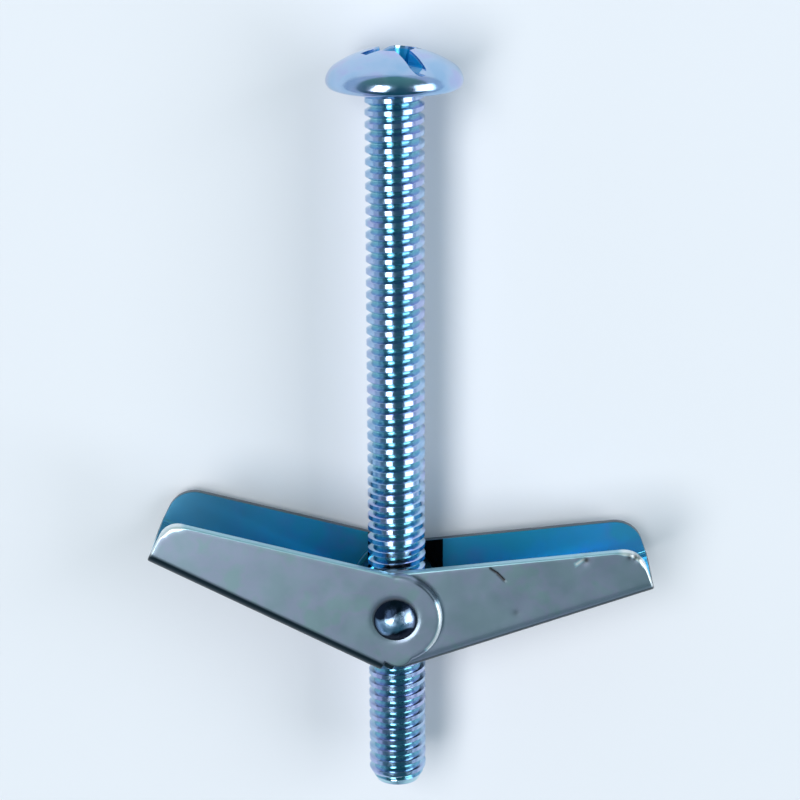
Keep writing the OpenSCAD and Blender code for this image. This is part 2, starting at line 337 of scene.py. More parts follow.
def thread_tree():
    """Wraps a grid into a rolled thread along -Y, starting at the bearing face."""
    tree = bpy.data.node_groups.new("rolled_thread", "GeometryNodeTree")
    given = tree_inputs(
        tree,
        ("Pitch", "Crest Radius", "Root Radius", "Length", "Point Length", "Point Radius", "First Crest"),
        (PITCH, CREST_R, ROOT_R, SHANK, POINT, POINT_R, FIRST_CREST),
    )
    turns = add_node(tree, "ShaderNodeMath", (given["Length"], given["Pitch"]), operation="DIVIDE")
    # two turns to spare, because the rows climb and are cut off level at both ends
    with_spare = add_node(tree, "ShaderNodeMath", (turns, 2.0), operation="ADD")
    exact_rows = add_node(tree, "ShaderNodeMath", (with_spare, ROWS_PER_PITCH), operation="MULTIPLY")
    rows = add_node(tree, "ShaderNodeMath", [exact_rows], operation="CEIL")
    grid = add_node(tree, "GeometryNodeMeshGrid", {
        "Size X": 1.0,
        "Size Y": 1.0,
        "Vertices X": AROUND + 1,
        "Vertices Y": add_node(tree, "ShaderNodeMath", (rows, 1.0), operation="ADD"),
    })
    position = add_node(tree, "GeometryNodeInputPosition")
    grid_x, grid_y, _ = add_node(tree, "ShaderNodeSeparateXYZ", [position]).outputs
    turn = add_node(tree, "ShaderNodeMath", (grid_x, 0.5), operation="ADD")
    share_down = add_node(tree, "ShaderNodeMath", (grid_y, 0.5), operation="ADD")
    exact_row = add_node(tree, "ShaderNodeMath", (share_down, rows), operation="MULTIPLY")
    row = add_node(tree, "ShaderNodeMath", [exact_row], operation="ROUND")
    # the rows climb one pitch in a turn, so each crest runs along one row
    pitches_down = add_node(tree, "ShaderNodeMath", (row, ROWS_PER_PITCH), operation="DIVIDE")
    less_turn = add_node(tree, "ShaderNodeMath", (pitches_down, turn), operation="SUBTRACT")
    climbed = add_node(tree, "ShaderNodeMath", (given["Pitch"], less_turn), operation="MULTIPLY")
    below_face = add_node(tree, "ShaderNodeMath", (climbed, 0.0), operation="MAXIMUM")
    depth = add_node(tree, "ShaderNodeMath", (below_face, given["Length"]), operation="MINIMUM")
    below_first = add_node(tree, "ShaderNodeMath", (depth, given["First Crest"]), operation="SUBTRACT")
    crests_down = add_node(tree, "ShaderNodeMath", (below_first, given["Pitch"]), operation="DIVIDE")
    round_the_helix = add_node(tree, "ShaderNodeMath", (crests_down, turn), operation="ADD")
    half_on = add_node(tree, "ShaderNodeMath", (round_the_helix, 0.5), operation="ADD")
    phase = add_node(tree, "ShaderNodeMath", [half_on], operation="FRACT")
    off_middle = add_node(tree, "ShaderNodeMath", (phase, 0.5), operation="SUBTRACT")
    from_crest = add_node(tree, "ShaderNodeMath", [off_middle], operation="ABSOLUTE")
    flank = add_node(tree, "ShaderNodeMapRange", (
        from_crest, CREST_SHARE, ROOT_SHARE, given["Crest Radius"], given["Root Radius"]))
    to_end = add_node(tree, "ShaderNodeMath", (given["Length"], depth), operation="SUBTRACT")
    cone = add_node(tree, "ShaderNodeMapRange", (
        to_end, 0.0, given["Point Length"], given["Point Radius"], given["Crest Radius"]))
    radius = add_node(tree, "ShaderNodeMath", (flank, cone), operation="MINIMUM")
    angle = add_node(tree, "ShaderNodeMath", (turn, math.tau), operation="MULTIPLY")
    sine, cosine = [add_node(tree, "ShaderNodeMath", [angle], operation=way) for way in ("SINE", "COSINE")]
    point = add_node(tree, "ShaderNodeCombineXYZ", (
        add_node(tree, "ShaderNodeMath", (radius, sine), operation="MULTIPLY"),
        add_node(tree, "ShaderNodeMath", (depth, -1.0), operation="MULTIPLY"),
        add_node(tree, "ShaderNodeMath", (radius, cosine), operation="MULTIPLY"),
    ))
    moved = add_node(tree, "GeometryNodeSetPosition", {0: grid, "Position": point})
    merged = add_node(tree, "GeometryNodeMergeByDistance", {0: moved, "Distance": 0.002 * MM})
    return end_tree(tree, merged, screw_zinc)


HEAD_R = 7 * MM
HEAD_H = 4.18 * MM
RIM_H = 0.85 * MM
RIM_OVER_R = 0.9 * MM
RIM_UNDER_R = 0.8 * MM
RIM_TURN = 12
SHOULDER_R = 2.1 * MM
SHANK_FILLET = 0.36 * MM
BEARING_RINGS = HEAD_R * 0.6, HEAD_R * 0.8
RECESS_TINT_DEPTH = 0.35 * MM
RECESS_BRIGHT_R = 1.2 * MM
RECESS_TINT_R = 1.7 * MM
# a tint stops this far short of the surface that it leaves bright
SKIN = 0.1 * MM
# the rim's round meets the shoulder's at RIM_TURN degrees, so their centres lie on one line with it
rim_way = math.cos(math.radians(RIM_TURN)), math.sin(math.radians(RIM_TURN))
SHOULDER_CENTRE = HEAD_R - RIM_OVER_R - (SHOULDER_R - RIM_OVER_R) * rim_way[0]
SHOULDER_H = RIM_H - (SHOULDER_R - RIM_OVER_R) * rim_way[1]
CROWN = HEAD_H - SHOULDER_H
DOME_SPHERE_R = (SHOULDER_CENTRE ** 2 + CROWN ** 2 - SHOULDER_R ** 2) / (2 * CROWN - 2 * SHOULDER_R)

# the thread's roots and the recess's arms are tinted as painted shade in these hollows; the recess is made
# less metallic so that it stays blue whatever it mirrors
screw_zinc = bright_zinc(
    "bright_zinc_blue_passivate", 0.005 * MM, 0.35 * MM, (0.14, 0.2),
    (in_the_roots, "#A8D6DE", 1.0), (in_the_recess, "#109CDA", 0.3))


def grown_mesh(name, tree):
    """The plain mesh that a geometry nodes tree makes."""
    carrier = new_object(name, bpy.data.meshes.new(name))
    carrier.modifiers.new("grow", "NODES").node_group = tree
    grown = carrier.evaluated_get(bpy.context.evaluated_depsgraph_get())
    mesh = bpy.data.meshes.new_from_object(grown)
    bpy.data.objects.remove(carrier)
    return mesh


def arc(centre, radius, start, end, steps):
    """Points along an arc, from one angle in degrees to another, both ends included."""
    turns = [math.radians(start + (end - start) * i / steps) for i in range(steps + 1)]
    return [(centre[0] + radius * math.cos(a), centre[1] + radius * math.sin(a)) for a in turns]


def head_profile():
    """The head's section, from beside the shank out round the rim and up to the top of the dome. The
    rim rounds over into a softer shoulder, which runs smoothly into the dome. Two rings on the bearing
    face keep its shading flat."""
    meet = math.degrees(math.atan2(CROWN - DOME_SPHERE_R, -SHOULDER_CENTRE)) + 180
    points = [(CREST_R + SHANK_FILLET, 0.0), *[(radius, 0.0) for radius in BEARING_RINGS]]
    points += arc((HEAD_R - RIM_UNDER_R, RIM_UNDER_R), RIM_UNDER_R, -90, 0, 8)
    points += arc((HEAD_R - RIM_OVER_R, RIM_H), RIM_OVER_R, 0, RIM_TURN, 4)
    points += arc((SHOULDER_CENTRE, SHOULDER_H), SHOULDER_R, RIM_TURN, meet, 14)[1:]
    points += arc((0, HEAD_H - DOME_SPHERE_R), DOME_SPHERE_R, meet, 90, 36)[1:-1]
    return points


def add_rings(shape, loop, profile):
    """Carries a loop of vertices on through rings (radius, height) about the Y axis, then closes it."""
    for radius, height in profile:
        ring = []
        for vert in loop:
            out = Vector((vert.co.x, 0, vert.co.z)).normalized()
            ring.append(shape.verts.new(out * radius + Vector((0, height, 0))))
        for i, vert in enumerate(loop):
            shape.faces.new((vert, loop[i - 1], ring[i - 1], ring[i]))
        loop = ring
    centre = shape.verts.new((0, sum(v.co.y for v in loop) / len(loop), 0))
    for i, vert in enumerate(loop):
        shape.faces.new((vert, loop[i - 1], centre))


def edge_loop(shape, height):
    """The vertices of the open edge at that height, in order round the Y axis."""
    edges = [e for e in shape.edges if e.is_boundary]
    verts = {v for e in edges for v in e.verts if abs(v.co.y - height) < 0.01 * MM}
    return sorted(verts, key=lambda v: math.atan2(v.co.x, v.co.z))


def finish_mesh(shape, mesh, sharp_angle):
    """Writes a bmesh to a mesh with outward normals, shaded smooth apart from its sharp edges."""
    bmesh.ops.recalc_face_normals(shape, faces=shape.faces)
    shape.to_mesh(mesh)
    shape.free()
    mesh.shade_smooth()
    mesh.set_sharp_from_angle(angle=math.radians(sharp_angle))
    return mesh


mesh = grown_mesh("screw", thread_tree())
shape = bmesh.new()
shape.from_mesh(mesh)
add_rings(shape, edge_loop(shape, 0), head_profile())
add_rings(shape, edge_loop(shape, -SHANK), [(POINT_R * 0.6, -SHANK)])
bmesh.ops.recalc_face_normals(shape, faces=shape.faces)
shape.to_mesh(mesh)
shape.free()

SLOT_TURN = 27
SLOT_W = 1.65 * MM
SLOT_DEPTH = 2.15 * MM
CROSS_SPAN = 7.6 * MM
CROSS_FLOOR = 2.8 * MM
CROSS_W = 1.3 * MM
CROSS_DEPTH = 3.6 * MM
CROSS_CORE_FLOOR = 2.2 * MM
CROSS_CORE_TOP = 4.1 * MM
CUT_PAST = 2 * MM


def prism(outline, half_width, turn):
    """A cutter of an outline (across, height), twice half_width thick, turned about the Y axis."""
    shape = bmesh.new()
    turned = Matrix.Rotation(math.radians(turn), 3, "Y")
    ends = [[shape.verts.new(turned @ Vector((side, y, x))) for x, y in outline]
            for side in (-half_width, half_width)]
    shape.faces.new(ends[0])
    shape.faces.new(reversed(ends[1]))
    for i in range(len(outline)):
        shape.faces.new((ends[0][i], ends[0][i - 1], ends[1][i - 1], ends[1][i]))
    return cutter_from(shape)


def cone(radius_low, radius_high, low, high, axis_turn):
    """A round cutter from one height to another, turned so that its height runs as axis_turn says."""
    shape = bmesh.new()
    bmesh.ops.create_cone(
        shape, cap_ends=True, segments=96, radius1=radius_low, radius2=radius_high, depth=high - low,
        matrix=axis_turn @ Matrix.Translation((0, 0, (low + high) / 2)))
    return cutter_from(shape)


def cutter_from(shape):
    """A closed bmesh as an object to cut with."""
    bmesh.ops.recalc_face_normals(shape, faces=shape.faces)
    mesh = bpy.data.meshes.new("cutter")
    shape.to_mesh(mesh)
    shape.free()
    return new_object("cutter", mesh)


def cut(piece, cutters):
    """Cuts the cutters out of a piece, for good, and throws them away."""
    for cutter in cutters:
        step = piece.modifiers.new("cut", "BOOLEAN")
        step.operation = "DIFFERENCE"
        step.solver = "MANIFOLD"
        step.object = cutter
    cut_piece = piece.evaluated_get(bpy.context.evaluated_depsgraph_get())
    mesh = bpy.data.meshes.new_from_object(cut_piece)
    piece.modifiers.clear()
    piece.data = mesh
    for cutter in cutters:
        bpy.data.objects.remove(cutter)
    return mesh


def settle(mesh, material, sharp_angle=35):
    """Gives a finished mesh its normals and its material."""
    shape = bmesh.new()
    shape.from_mesh(mesh)
    bmesh.ops.dissolve_degenerate(shape, dist=0.002 * MM, edges=shape.edges)
    finish_mesh(shape, mesh, sharp_angle)
    mesh.materials.clear()
    mesh.materials.append(material)
    for face in mesh.polygons:
        face.material_index = 0


above = HEAD_H + CUT_PAST
slot_section = arc((0, HEAD_H - SLOT_DEPTH + SLOT_W / 2), SLOT_W / 2, 180, 360, 16)
slot_section += [(SLOT_W / 2, above), (-SLOT_W / 2, above)]
cross_outline = [
    (-CROSS_FLOOR / 2, HEAD_H - CROSS_DEPTH),
    (CROSS_FLOOR / 2, HEAD_H - CROSS_DEPTH),
    (CROSS_SPAN / 2, HEAD_H),
    (CROSS_SPAN / 2, above),
    (-CROSS_SPAN / 2, above),
    (-CROSS_SPAN / 2, HEAD_H),
]
screw = new_object("threaded_screw", mesh)
up_the_screw = Matrix.Rotation(math.radians(-90), 4, "X")
mesh = cut(screw, [
    prism(slot_section, HEAD_R + CUT_PAST, SLOT_TURN + 90),
    prism(cross_outline, CROSS_W / 2, SLOT_TURN),
    prism(cross_outline, CROSS_W / 2, SLOT_TURN + 90),
    cone(CROSS_CORE_FLOOR / 2, CROSS_CORE_TOP / 2, HEAD_H - CROSS_DEPTH, HEAD_H, up_the_screw),
])
settle(mesh, screw_zinc)
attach(screw, "screw")
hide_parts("screw")


# ---------------------------------------------------------------- nut
# One turned piece of steel: a barrel that lies along the hinge, tapped across for the screw,
# with a stub pin at each end. The ends of the pins are riveted over into low domes.

PIN = Vector((0, -55.15, 0)) * MM
BARREL_R = 4.7 * MM
PIN_R = 2.1 * MM
DOME_R = 2.25 * MM
DOME_H = 1 * MM
DOME_EDGE = 0.1 * MM
DOME_LIP = 0.04 * MM
LIT_BAND_SLOPE = 0.3
LIT_BAND_DROP = 0.15 * MM
LIT_BAND_HALF = 0.65 * MM
LIT_BAND_FADE = 0.4 * MM
LIT_BAND_WANDER = 0.3 * MM
RIM_SHADE = DOME_R * 0.76, DOME_R * 0.95
CHAMFER = 0.25 * MM
BARREL_LOW = -3.425 * MM
BARREL_HIGH = 4.255 * MM
# the bore is plain here, a little wider than the thread's crests, and countersunk at both ends
BORE_R = 3.125 * MM
BORE_REACH = 8 * MM
SINK_INNER_R = BORE_R - 0.5 * MM
SINK_OUTER_R = BORE_R + 1.2 * MM
SINK_LOW = BARREL_R - 1.0 * MM
SINK_HIGH = BARREL_R + 0.7 * MM
nut_low, nut_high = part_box("trunnion_nut")
dome_foot = nut_high.z - DOME_H


def dome(side):
    """One pin's section from under its riveted dome to the top of it, as (radius, height)."""
    sphere_r = (DOME_R ** 2 + DOME_H ** 2) / (2 * DOME_H)
    edge = math.degrees(math.acos(DOME_R / sphere_r))
    points = [(PIN_R, dome_foot - DOME_EDGE), (DOME_R - DOME_LIP, dome_foot - DOME_EDGE)]
    points += [(DOME_R, dome_foot - DOME_EDGE / 2)]
    points += arc((0, dome_foot + DOME_H - sphere_r), sphere_r, edge, 90, 16)[:-1]
    return [(radius, side * height) for radius, height in points]


def from_the_pin(tree, place):
    """How far a point lies from the pin's axis."""
    x, y, _ = add_node(tree, "ShaderNodeSeparateXYZ", [place]).outputs
    above_pin = add_node(tree, "ShaderNodeMath", (y, PIN.y), operation="SUBTRACT")
    return off_axis(tree, x, above_pin)


def painted_dark_on_the_dome(tree, place):
    """0 on a band across a dome that stays bright to mirror the lamps, and 1 on the rest of it,
    painted dark as a reflection of the dark surroundings and as shade at its rim.
    """
    x, y, _ = add_node(tree, "ShaderNodeSeparateXYZ", [place]).outputs
    slope = add_node(tree, "ShaderNodeMath", (x, LIT_BAND_SLOPE), operation="MULTIPLY")
    height = add_node(tree, "ShaderNodeMath", (y, slope), operation="SUBTRACT")
    off_middle = add_node(tree, "ShaderNodeMath", (height, PIN.y - LIT_BAND_DROP), operation="SUBTRACT")
    waves = add_node(tree, "ShaderNodeTexNoise", {"Vector": place, "Scale": noise_scale(0.8 * MM)})
    wander = add_node(tree, "ShaderNodeMapRange", (waves, 0.3, 0.7, -LIT_BAND_WANDER, LIT_BAND_WANDER))
    wandered = add_node(tree, "ShaderNodeMath", (off_middle, wander), operation="ADD")
    off_band = add_node(tree, "ShaderNodeMath", [wandered], operation="ABSOLUTE")
    beside = add_node(tree, "ShaderNodeMapRange", (off_band, LIT_BAND_HALF, LIT_BAND_HALF + LIT_BAND_FADE, 0.0, 1.0))
    at_rim = add_node(tree, "ShaderNodeMapRange", (from_the_pin(tree, place), *RIM_SHADE, 0.0, 1.0))
    return add_node(tree, "ShaderNodeMath", (beside, at_rim), operation="MAXIMUM")


def painted_shade_on_the_barrel(tree, place):
    """1 on the barrel, painted black as the shade it lies in, and 0 on the domes."""
    radius = from_the_pin(tree, place)
    return add_node(tree, "ShaderNodeMath", (radius, DOME_R + SKIN), operation="GREATER_THAN")


profile = [(0.0, nut_low.z), *reversed(dome(-1))]
profile += [(PIN_R, BARREL_LOW), (BARREL_R - CHAMFER, BARREL_LOW), (BARREL_R, BARREL_LOW + CHAMFER)]
profile += [(BARREL_R, BARREL_HIGH - CHAMFER), (BARREL_R - CHAMFER, BARREL_HIGH), (PIN_R, BARREL_HIGH)]
profile += [*dome(1), (0.0, nut_high.z)]
shape = bmesh.new()
section = [shape.verts.new(PIN + Vector((radius, 0, height))) for radius, height in profile]
for start, end in zip(section, section[1:]):
    shape.edges.new((start, end))
bmesh.ops.spin(
    shape, geom=list(shape.verts) + list(shape.edges), cent=PIN, axis=(0, 0, 1),
    angle=math.tau, steps=96, use_merge=True)
bmesh.ops.remove_doubles(shape, verts=shape.verts, dist=0.001 * MM)
mesh = finish_mesh(shape, bpy.data.meshes.new("nut"), 35)
nut = new_object("riveted_nut", mesh)
across = Matrix.Translation(PIN) @ up_the_screw
mesh = cut(nut, [
    cone(BORE_R, BORE_R, -BORE_REACH, BORE_REACH, across),
    cone(SINK_INNER_R, SINK_OUTER_R, SINK_LOW, SINK_HIGH, across),
    cone(SINK_OUTER_R, SINK_INNER_R, -SINK_HIGH, -SINK_LOW, across),
])
# The same bright zinc over rough turned steel. It is painted nearly black all round: painted shade on
# the barrel, and on the domes a painted reflection of the dark surroundings and painted shade at the
# rim, all but a band across each dome that stays bright to mirror the lamps.
nut_zinc = bright_zinc(
    "bright_zinc_on_turned_steel", 0.12 * MM, 0.7 * MM, (0.24, 0.36),
    (painted_dark_on_the_dome, "#1C2738", 1.0), (painted_shade_on_the_barrel, "#10161C", 1.0))
settle(mesh, nut_zinc)
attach(nut, "nut")
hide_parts("trunnion_nut")


# ---------------------------------------------------------------- wings
# Two channels, each punched flat from 0.9 mm sheet steel, folded up on both sides of a web and
# barrel plated. The left one is wider, so its ears turn outside the ears of the right one.

SHEET = 0.9 * MM
FOLD_R = 0.45 * MM
WEB_IN = 5.275 * MM
EAR_R = 4.95 * MM
EAR_TURNS = 223, 200, 128, 90
EDGE_OFFSET = 4.7 * MM
TAPER = math.radians(12.8)
FOLD_RUN = 1.2 * MM
TONGUE_HALF = 3.925 * MM
STOP_GAP = 0.05 * MM
NOTCH_GAP = 0.12 * MM
THREAD_R = 3.075 * MM
PIN_HOLE_R = 2.16 * MM
DISH_WIDTH = 0.6 * MM
DISH_DEPTH = 0.16 * MM
PUNCHED_ROLL = 0.2 * MM
EAR_ROLL = 0.5 * MM
TONGUE_ROLL = 0.12 * MM
BURR = 0.05 * MM
# tones of the cut edges, for the straight edge, the tip and the ear's parts: painted highlight above 0,
# painted shade below it
FRONT_TONES = 0.5, 1, (-0.6, -0.1, 1, -0.8, 0)
BACK_TONES = -0.8, -0.8, (-0.8, -0.8, -0.8, -0.8, -0.8)
NUT_SHADE_LEFT = -3.3 * MM
NUT_SHADE_RIGHT = 4.9 * MM
OUTLINE_STEP = 0.2 * MM
EDGE_SMOOTHING = 4
GRID_STEP = 0.35 * MM
FINEST_STEP = 0.02 * MM
ROLL_STEPS = 6
FOLD_STEPS = 12

middle_r = FOLD_R + SHEET / 2
fold_length = middle_r * math.pi / 2
fold_top = FOLD_R - WEB_IN


def side_place(height, flat_half):
    """How far across the flat blank a point of a side lies, from its height above the pin."""
    return flat_half + fold_length + height - fold_top


def half_outline(wing, corner_r, corner_roll, edge_tone, tip_tone, ear_tones):
    """Half of a blank's outline, from the notch round the ear to the tip, as strokes. Each has the
    roll of its edge and its tone, from -1 for painted shade on the cut to 1 for a painted highlight;
    by 0.5 the cut shows lighter cut metal with some painted highlight. The ear changes its tone at
    EAR_TURNS, in degrees round its centre."""
    rise, reach, flat_half = wing["rise"], wing["reach"], wing["flat_half"]
    tongue_end = -WEB_IN * math.tan(rise) + STOP_GAP / math.cos(rise)
    notch_out = -(WEB_IN + SHEET / 2) * math.tan(rise)
    notch_across = THREAD_R + NOTCH_GAP
    notch_along = notch_across / math.cos(rise) + SHEET / 2 * math.tan(rise)
    notch_end = math.acos((tongue_end - notch_out) / notch_along)
    notch = [(notch_out + notch_along * math.cos(a), notch_across * math.sin(a))
             for a in np.linspace(0, notch_end, 24)]
    ear_low = -math.sqrt(EAR_R ** 2 - FOLD_RUN ** 2)
    start = math.degrees(math.atan2(ear_low, -FOLD_RUN)) + 360
    end = 90 - math.degrees(TAPER) - math.degrees(math.acos(EDGE_OFFSET / EAR_R))
    ear_centre = (0, side_place(0, flat_half))
    turns = (start, *EAR_TURNS, end)
    ear_turns = zip(turns, turns[1:], ear_tones)
    edge_at_pin = EDGE_OFFSET / math.cos(TAPER)
    corner_out = reach - corner_r
    corner_height = edge_at_pin - corner_out * math.tan(TAPER) - corner_r / math.cos(TAPER)
    corner_centre = (corner_out, side_place(corner_height, flat_half))
    corner = arc(corner_centre, corner_r, 90 - math.degrees(TAPER), 0, 24)
    ear = [(arc(ear_centre, EAR_R, a, b, 24), EAR_ROLL, ear_tone) for a, b, ear_tone in ear_turns]
    # the heel swells out past the round of the ear
    bare = np.array(ear[0][0]) - ear_centre
    swell = 1 + wing["heel"] / EAR_R * np.sin(np.linspace(0, math.pi, len(bare))) ** 1.2
    ear[0] = ([tuple(p) for p in ear_centre + bare * swell[:, None]], PUNCHED_ROLL, ear_tones[0])
    return [
        (notch, TONGUE_ROLL, -1),
        ([notch[-1], (tongue_end, TONGUE_HALF)], TONGUE_ROLL, -1),
        ([(tongue_end, TONGUE_HALF), (-FOLD_RUN, TONGUE_HALF)], TONGUE_ROLL, -1),
        ([(-FOLD_RUN, TONGUE_HALF), ear[0][0][0]], TONGUE_ROLL, -1),
        *ear,
        ([ear[-1][0][-1], corner[0]], PUNCHED_ROLL, edge_tone),
        (corner, corner_roll, tip_tone),
        ([corner[-1], (reach, 0.0)], PUNCHED_ROLL, tip_tone),
    ]


def walk(strokes):
    """Even steps along strokes that meet end to end, as points and the roll and tone at each."""
    points, edges = [], []
    for line, *edge in strokes:
        for start, end in zip(line, line[1:]):
            start, end = np.array(start), np.array(end)
            steps = max(1, math.ceil(np.linalg.norm(end - start) / OUTLINE_STEP))
            for i in range(steps):
                points.append(start + (end - start) * i / steps)
                edges.append(edge)
    points.append(np.array(strokes[-1][0][-1]))
    edges.append(strokes[-1][1:])
    return points, edges


def blank_outline(wing):
    """The whole outline of a blank, its inward directions, its rolls and its tones, front side first."""
    front, front_edges = walk(half_outline(wing, *wing["front_corner"], *FRONT_TONES))
    back, back_edges = walk(half_outline(wing, *wing["back_corner"], *BACK_TONES))
    mirrored = [point * (1, -1) for point in reversed(back)]
    points = np.array(front + mirrored[1:-1])
    edges = np.array(front_edges + back_edges[::-1][1:-1], float)
    # rolls and tones change gradually along the edge
    for _ in range(EDGE_SMOOTHING):
        edges = (np.roll(edges, 1, axis=0) + edges + np.roll(edges, -1, axis=0)) / 3
    ahead = np.roll(points, -1, axis=0) - points
    ahead /= np.linalg.norm(ahead, axis=1)[:, None]
    normals = np.stack([ahead[:, 1], -ahead[:, 0]], axis=1)
    inward = normals + np.roll(normals, 1, axis=0)
    inward /= np.linalg.norm(inward, axis=1)[:, None]
    # a mitre at each corner, at most twice as deep as the roll
    inward /= np.maximum((inward * normals).sum(axis=1), 0.5)[:, None]
    return points, inward, edges[:, 0], edges[:, 1]


def edge_rows(points, inward, rolls):
    """Rows (points, heights) over a punched edge: rolled over on the outside, a small burr inside."""
    rows = []
    for step in range(ROLL_STEPS, -1, -1):
        turn = math.pi / 2 * step / ROLL_STEPS
        rows.append((
            points + inward * (rolls * (1 - math.cos(turn)))[:, None],
            SHEET / 2 - rolls * (1 - math.sin(turn)),
        ))
    level = np.full(len(points), -SHEET / 2)
    return rows + [(points, level + BURR), (points + inward * BURR, level)]


def hole_rows(centre):
    """Rows over the edge of a pin hole, where riveting has pressed the sheet into a shallow dish."""
    turns = np.linspace(0, math.tau, 72, endpoint=False)
    away = np.stack([np.cos(turns), np.sin(turns)], axis=1)
    points = centre + away * PIN_HOLE_R
    rows = []
    for step in range(ROLL_STEPS, -1, -1):
        share = step / ROLL_STEPS
        depth = DISH_DEPTH * (1 - share) ** 1.5
        rows.append((points + away * DISH_WIDTH * share, np.full(len(points), SHEET / 2 - depth)))
    level = np.full(len(points), -SHEET / 2)
    return rows + [(points, level + BURR), (points + away * BURR, level)]


def within(points, loop):
    """Whether each point lies inside a closed loop."""
    inside = np.zeros(len(points), bool)
    for (x0, y0), (x1, y1) in zip(loop, np.roll(loop, -1, axis=0)):
        if y0 != y1:
            crosses = (points[:, 1] < y0) != (points[:, 1] < y1)
            inside ^= crosses & (points[:, 0] < x0 + (points[:, 1] - y0) * (x1 - x0) / (y1 - y0))
    return inside


def blank_grid(wing):
    """Points spread over a blank, with closer lines across the folds, and those of fine marks."""
    flat_half = wing["flat_half"]
    web = np.arange(GRID_STEP / 2, flat_half - GRID_STEP / 2, GRID_STEP)
    fold = flat_half + fold_length * np.arange(FOLD_STEPS + 1) / FOLD_STEPS
    side = np.arange(fold[-1] + GRID_STEP, fold[-1] + 2.2 * EAR_R, GRID_STEP)
    across = np.concatenate([web, fold, side])
    out = np.arange(-EAR_R, wing["reach"], GRID_STEP)
    grid = np.stack(np.meshgrid(out, np.concatenate([-across, across])), axis=-1).reshape(-1, 2)
    grid = np.concatenate([grid, *wing["fine_points"]])
    return np.unique(np.round(grid / FINEST_STEP), axis=0) * FINEST_STEP


def cover(loops, grid):
    """Triangles over the area inside the first loop and outside the others."""
    keep = within(grid, loops[0])
    for hole in loops[1:]:
        keep &= ~within(grid, hole)
    edge = np.concatenate(loops)
    # in forty parts, to spare memory
    for part in np.array_split(np.nonzero(keep)[0], 40):
        gap = np.linalg.norm(grid[part][:, None] - edge[None], axis=2).min(axis=1)
        keep[part] = gap > OUTLINE_STEP * 0.6
    points = np.concatenate([edge, grid[keep]])
    edges, start = [], 0
    for loop in loops:
        edges += [(start + i, start + (i + 1) % len(loop)) for i in range(len(loop))]
        start += len(loop)
    # in millimetres, because the triangulation takes very small gaps for none
    made = delaunay_2d_cdt([Vector(p / MM) for p in points], edges, [], 1, 1e-6)
    if len(made[0]) != len(points):
        raise ValueError("the blank's outline crosses itself")
    triangles = np.array([[made[3][v][0] for v in face] for face in made[2]])
    middles = points[triangles].mean(axis=1)
    in_hole = np.zeros(len(triangles), bool)
    for hole in loops[1:]:
        in_hole |= within(middles, hole)
    return points, triangles[~in_hole]


def folded(wing, out, across, height):
    """Folds points of the blank, at a height above the middle of the sheet, and places them."""
    past = np.abs(across) - wing["flat_half"]
    turn = np.clip(past / fold_length, 0, 1) * math.pi / 2
    up = fold_top - (middle_r + height) * np.cos(turn) + np.maximum(past - fold_length, 0)
    depth = np.minimum(np.abs(across), wing["flat_half"]) + (middle_r + height) * np.sin(turn)
    cos, sin = math.cos(wing["rise"]), math.sin(wing["rise"])
    return np.stack([
        wing["side"] * (out * cos - up * sin),
        PIN.y + out * sin + up * cos,
        np.sign(across) * depth,
    ], axis=1)


def near_place(wing, flat, out, up, spread):
    """1 at a place on the front side, fading out over its spread."""
    away = np.hypot(flat[:, 0] - out, flat[:, 1] - side_place(up, wing["flat_half"]))
    return np.exp(-0.5 * (away / spread) ** 2)


def line_distance(flat, start, end):
    """How far each point lies from a straight line between two points."""
    run = end - start
    along = np.clip(((flat - start) @ run) / (run @ run), 0, 1)
    return np.linalg.norm(flat - start - along[:, None] * run, axis=1)


def near_line(flat, line, half_width):
    """1 along a line, fading out at 1.6 times its half width."""
    return np.clip(1.6 - line_distance(flat, *line) / half_width, 0, 1)


def dented(wing, flat, heights):
    """The heights over the sheet once it has its dents and scratches."""
    for out, up, spread, rise in wing["dents"]:
        heights = heights + rise * near_place(wing, flat, out, up, spread)
    for line, half_width, depth in wing["scratches"]:
        heights = heights - depth * np.maximum(0, 1 - line_distance(flat, *line) / half_width)
    return heights


def finish_shares(wing, flat, edge_tone, inside):
    """How much painted highlight, painted shade and marks each point carries, and how far inside the channel
    it is, for the sheet's material.
    """
    bend = np.clip((np.abs(flat[:, 1]) - wing["flat_half"]) / fold_length, 0, 1)
    # painted shade on the folds outside, and on cut edges whose tone is below 0; painted highlight on those
    # above 0 and along the glints
    dark = np.maximum(np.interp(bend, *wing["bend_tone"]) * (1 - inside), -edge_tone)
    bright = np.maximum(edge_tone, 0)
    for line, half_width in wing["glints"]:
        bright = np.maximum(bright, near_line(flat, line, half_width))
    mark = np.zeros(len(flat))
    for out, up, spread, amount in wing["dark_spots"]:
        mark = np.maximum(mark, amount * near_place(wing, flat, out, up, spread))
    for line, half_width, _ in wing["scratches"]:
        mark = np.maximum(mark, near_line(flat, line, half_width))
    return {"bright_share": bright, "inside_share": inside, "painted_shade_share": dark, "marks_and_shadow_share": mark}


